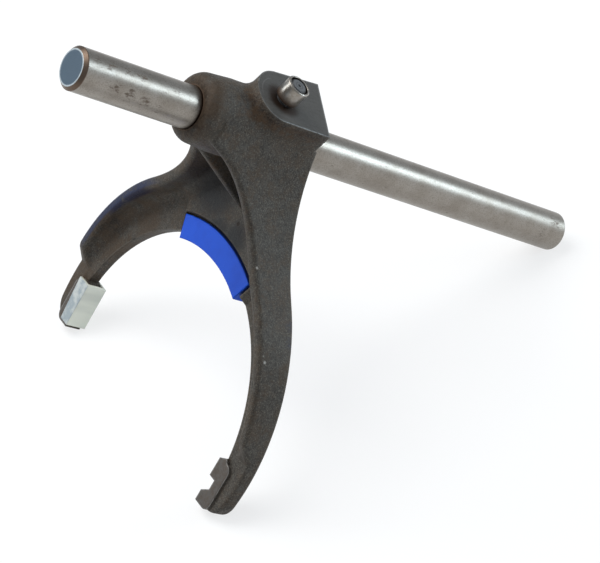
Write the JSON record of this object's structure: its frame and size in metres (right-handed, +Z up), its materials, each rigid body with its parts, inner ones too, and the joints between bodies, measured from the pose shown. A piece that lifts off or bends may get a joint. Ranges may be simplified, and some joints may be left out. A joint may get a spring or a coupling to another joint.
{
  "type": "transfer case shift fork",
  "caption": "Two-legged shift fork on a round rail, with a follower roller on a machined boss, a blue pad in the fork's arc and a pale pad at one tip.",
  "frame": {"origin": "centre of the object's footprint box on the surface it lies on", "axes": "+Z up from that surface; +X along the rail's run over the ground, towards its long end, which slopes down; +Y towards the leg that keeps its tip pad"},
  "size_m": [0.1924, 0.1362, 0.1563],
  "materials": {
    "iron": "as cast, dark grey with brown stains",
    "rail_steel": "ground, satin",
    "pin_steel": "dull grey",
    "roller_steel": "ground",
    "blue_nylon": "moulded, matt",
    "natural_nylon": "moulded, slightly see-through"
  },
  "bodies": {
    "fork": {"fork_casting": "iron", "shift_rail": "rail_steel", "follower_pin": "pin_steel", "centre_pad": "blue_nylon", "tip_pad": "natural_nylon"},
    "roller": {"follower_roller": "roller_steel"}
  },
  "joints": [
    {"name": "roller_spin", "type": "hinge", "parent": "fork", "child": "roller", "pos_m": [-0.01891, -0.00829, 0.11814], "axis": [0.5717, -0.3891, 0.7223], "continuous": true}
  ]
}
